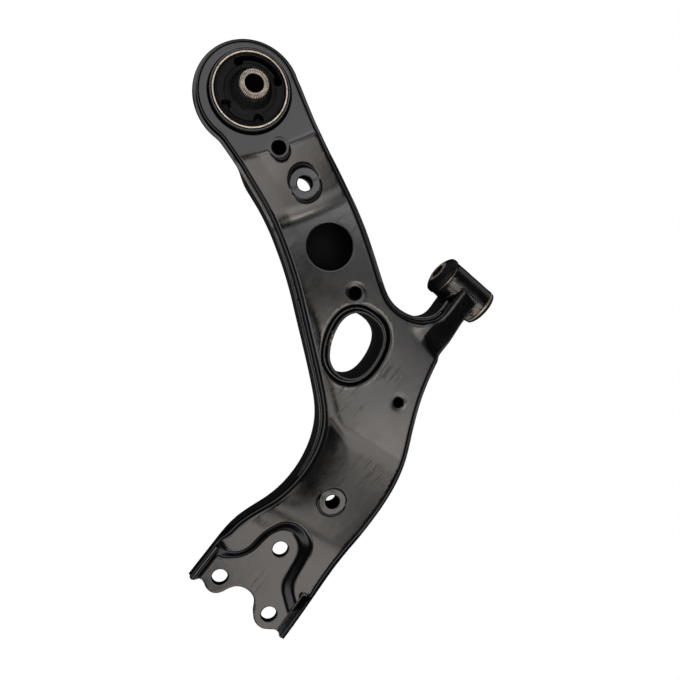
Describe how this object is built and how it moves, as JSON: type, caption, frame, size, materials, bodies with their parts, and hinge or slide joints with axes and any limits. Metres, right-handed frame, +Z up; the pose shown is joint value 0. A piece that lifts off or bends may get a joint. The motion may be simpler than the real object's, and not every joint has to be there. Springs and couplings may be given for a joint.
{
  "type": "control arm",
  "caption": "Pressed-steel lower control arm with a vertical rear bush, a front pivot bush on a hooked neck and a bolted ball-joint seat.",
  "frame": {"origin": "centre of the bottom of the bounding box; the underside of the lower panel lies at Z = 0", "axes": "+X outboard from the pivot axis to the ball-joint seat, +Y forward along the pivot axis from the rear bush to the front bush, +Z up out of the upper panel"},
  "size_m": [0.4076, 0.374, 0.0676],
  "materials": {
    "black_paint": "gloss black electrocoat over pressed steel",
    "painted_weld": "black electrocoat over weld bead",
    "sleeve_steel": "bare steel tube, slightly yellowed",
    "serrated_steel": "zinc-plated sleeve with serrated ends",
    "rubber": "moulded black rubber, satin"
  },
  "bodies": {
    "root": {"upper_panel": "black_paint", "lower_panel": "black_paint", "oval_tube": "black_paint", "rear_bush_collar": "black_paint", "front_bush_housing": "black_paint", "seam_weld_outboard": "painted_weld", "seam_weld_forward": "painted_weld", "seam_weld_hook": "painted_weld", "seam_weld_inboard": "painted_weld", "front_housing_weld_upper": "painted_weld", "front_housing_weld_lower": "painted_weld", "front_housing_weld_rear": "painted_weld", "front_housing_weld_forward": "painted_weld", "rear_collar_weld": "painted_weld", "oval_weld_upper": "painted_weld", "oval_weld_lower": "painted_weld", "rear_bush_outer_sleeve": "sleeve_steel", "front_bush_outer_sleeve": "sleeve_steel", "rear_bush_rubber": "rubber", "front_bush_rubber": "rubber"},
    "rear_sleeve": {"rear_bush_inner_sleeve": "serrated_steel"},
    "front_sleeve": {"front_bush_inner_sleeve": "serrated_steel"}
  },
  "joints": [
    {"name": "rear_bush_tilt", "type": "hinge", "parent": "root", "child": "rear_sleeve", "pos_m": [-0.16118, -0.14223, 0.03525], "axis": [0, 1, 0], "range_deg": [-14, 18], "stiffness_Nm_per_rad": 60, "deforming": ["rear_bush_rubber"]},
    {"name": "front_bush_pivot", "type": "hinge", "parent": "root", "child": "front_sleeve", "pos_m": [-0.16118, 0.11037, 0.0213], "axis": [0, 1, 0], "range_deg": [-22, 22], "stiffness_Nm_per_rad": 70}
  ]
}
